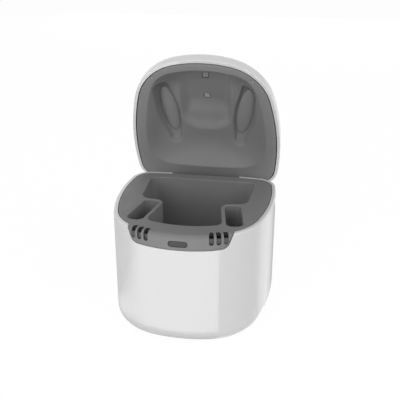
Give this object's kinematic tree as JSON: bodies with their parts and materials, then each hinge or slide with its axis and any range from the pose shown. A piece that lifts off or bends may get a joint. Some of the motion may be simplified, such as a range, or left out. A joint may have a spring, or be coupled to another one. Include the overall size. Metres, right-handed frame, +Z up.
{
  "type": "hearing aid dryer",
  "caption": "Rounded table-top drying case with a hinged domed lid, toed-in hearing aid slots, a floor grille, front vents and a front button.",
  "frame": {"origin": "on the table under the middle of the case, at the base pad's underside", "axes": "+Z up, front with the button towards -Y, +X to the right seen from the front, lid drawn fully open"},
  "size_m": [0.09, 0.1111, 0.1422],
  "materials": {
    "white_plastic": "satin moulded white",
    "grey_plastic": "fine matte mid grey",
    "dark_plastic": "matte dark grey",
    "button_plastic": "smooth dark grey",
    "soft_pad": "soft matte grey silicone",
    "rubber_grey": "matte grey rubber",
    "circuit_board": "green solder mask",
    "lamp_ceramic": "pale ceramic lamp package",
    "steel": "ground steel",
    "magnet_metal": "nickel plated",
    "fin_aluminium": "plain aluminium fins"
  },
  "bodies": {
    "case": {"body_shell": "white_plastic", "base_pad": "rubber_grey", "case_screws": "steel", "inner_tray": "grey_plastic", "air_grille": "dark_plastic", "slot_pad_right": "soft_pad", "slot_pad_left": "soft_pad", "chassis": "dark_plastic", "main_board": "circuit_board", "usb_socket": "steel", "heater": "fin_aluminium", "fan_frame": "dark_plastic", "button_switch": "dark_plastic", "switch_board": "circuit_board", "hinge_pin": "steel", "tray_magnets": "magnet_metal"},
    "lid": {"lid_shell": "white_plastic", "lid_liner": "grey_plastic", "pad_right": "soft_pad", "pad_left": "soft_pad", "lamp_board": "circuit_board", "lamp_front": "lamp_ceramic", "lamp_rear": "lamp_ceramic", "lid_bumpers": "rubber_grey", "lid_magnets": "magnet_metal"},
    "button_body": {"button": "button_plastic"},
    "fan": {"fan_rotor": "dark_plastic"}
  },
  "joints": [
    {"name": "lid_hinge", "type": "hinge", "parent": "case", "child": "lid", "pos_m": [0, 0.042, 0.0548], "axis": [1, 0, 0], "range_deg": [0, 70.6]},
    {"name": "button_press", "type": "slide", "parent": "case", "child": "button_body", "axis": [0, 1, 0], "range_m": [0, 0.0006], "stiffness_N_per_m": 500, "springref_m": -0.002},
    {"name": "fan_spin", "type": "hinge", "parent": "case", "child": "fan", "pos_m": [0, 0.012, 0.02], "axis": [0, 0, 1], "continuous": true}
  ]
}
